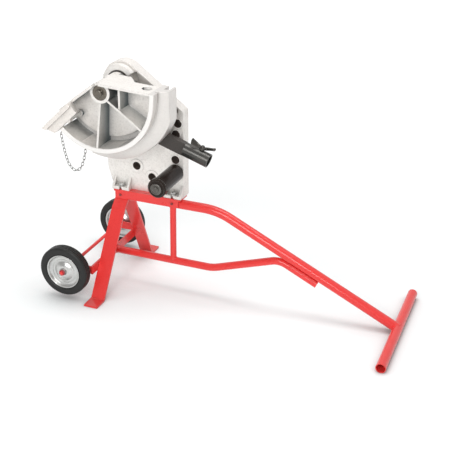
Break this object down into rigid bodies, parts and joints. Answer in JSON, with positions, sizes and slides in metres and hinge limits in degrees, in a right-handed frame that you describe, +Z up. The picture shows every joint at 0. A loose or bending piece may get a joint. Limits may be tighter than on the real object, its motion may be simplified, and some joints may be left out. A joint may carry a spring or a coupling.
{
  "type": "mechanical conduit bender",
  "caption": "Ratchet lever conduit bender: a cast bending shoe with hook and chain turns on a cast housing, on a tube stand with legs, transport wheels and a floor bar.",
  "frame": {"origin": "on the floor, under the middle of the stand's length and width", "axes": "+X along the beam from the wheels to the floor bar, -Y to the side of the bending shoe, +Z up"},
  "size_m": [1.3904, 0.568, 0.912],
  "materials": {
    "red_paint": "gloss paint",
    "cast_aluminium": "as cast, matt",
    "zinc_steel": "zinc plated",
    "dark_steel": "black oxide, oiled",
    "black_tyre": "solid rubber",
    "bronze": "bearing bronze"
  },
  "bodies": {
    "stand": {"main_tube": "red_paint", "lower_tube": "red_paint", "strut_tube": "red_paint", "foot_bar": "red_paint", "mounting_plate": "red_paint", "front_leg": "red_paint", "rear_leg": "red_paint", "leg_cross_bar": "red_paint", "front_axle_arm": "red_paint", "rear_axle_arm": "red_paint", "axle": "zinc_steel", "axle_nuts": "red_paint", "axle_spacers": "zinc_steel", "axle_washers": "zinc_steel", "housing": "cast_aluminium", "housing_bolts": "dark_steel", "housing_washers": "zinc_steel", "beam_screws": "dark_steel", "main_shaft": "dark_steel", "shaft_washer": "zinc_steel", "shaft_nut": "dark_steel", "thrust_washer": "dark_steel", "shaft_spacer": "dark_steel", "holding_pawl_pin": "dark_steel", "holding_pawl_spring": "dark_steel", "lever_stop_pin": "dark_steel"},
    "front_wheel": {"front_tyre": "black_tyre", "front_wheel_outer_disc": "zinc_steel", "front_wheel_inner_disc": "zinc_steel", "front_wheel_sleeve": "zinc_steel"},
    "rear_wheel": {"rear_tyre": "black_tyre", "rear_wheel_outer_disc": "zinc_steel", "rear_wheel_inner_disc": "zinc_steel", "rear_wheel_sleeve": "zinc_steel"},
    "shoe": {"bending_shoe": "cast_aluminium", "shoe_bush": "bronze", "ratchet_sector": "dark_steel", "ratchet_screws": "dark_steel", "hook_pin": "zinc_steel", "keeper_chain": "zinc_steel", "chain_eyes": "zinc_steel"},
    "hook": {"conduit_hook": "cast_aluminium"},
    "lever": {"lever_yoke": "cast_aluminium", "lever_bar": "dark_steel", "handle_socket": "dark_steel", "drive_pawl_pin": "dark_steel", "drive_pawl_spring": "dark_steel"},
    "drive_pawl": {"drive_pawl": "dark_steel"},
    "holding_pawl": {"holding_pawl": "dark_steel"},
    "wing_screw": {"wing_screw": "dark_steel"},
    "roller_support": {"roller_pin": "dark_steel", "roller_cap": "dark_steel"},
    "roller": {"roller": "dark_steel"}
  },
  "joints": [
    {"name": "front_wheel_spin", "type": "hinge", "parent": "stand", "child": "front_wheel", "pos_m": [-0.59375, -0.2445, 0.1215], "axis": [0, 1, 0], "continuous": true},
    {"name": "rear_wheel_spin", "type": "hinge", "parent": "stand", "child": "rear_wheel", "pos_m": [-0.59375, 0.2445, 0.1215], "axis": [0, 1, 0], "continuous": true},
    {"name": "shoe_turn", "type": "hinge", "parent": "stand", "child": "shoe", "pos_m": [-0.44775, 0, 0.838], "axis": [0, 1, 0], "range_deg": [-45, 60]},
    {"name": "hook_swing", "type": "hinge", "parent": "shoe", "child": "hook", "pos_m": [-0.56709, -0.192, 0.72693], "axis": [0, 1, 0], "range_deg": [0, 20]},
    {"name": "lever_swing", "type": "hinge", "parent": "stand", "child": "lever", "pos_m": [-0.44775, 0, 0.838], "axis": [0, 1, 0], "range_deg": [-60, 0]},
    {"name": "drive_pawl_turn", "type": "hinge", "parent": "lever", "child": "drive_pawl", "pos_m": [-0.36739, -0.068, 0.73328], "axis": [0, 1, 0], "range_deg": [0, 11]},
    {"name": "holding_pawl_turn", "type": "hinge", "parent": "stand", "child": "holding_pawl", "pos_m": [-0.46498, -0.068, 0.70713], "axis": [0, 1, 0], "range_deg": [0, 11]},
    {"name": "wing_screw_turn", "type": "hinge", "parent": "lever", "child": "wing_screw", "pos_m": [-0.11034, -0.0245, 0.6179], "axis": [0.319, 0, 0.9478], "continuous": true},
    {"name": "roller_pull", "type": "slide", "parent": "stand", "child": "roller_support", "axis": [0, -1, 0], "range_m": [0, 0.045]},
    {"name": "roller_spin", "type": "hinge", "parent": "roller_support", "child": "roller", "pos_m": [-0.22675, -0.085, 0.502], "axis": [0, 1, 0], "continuous": true}
  ]
}
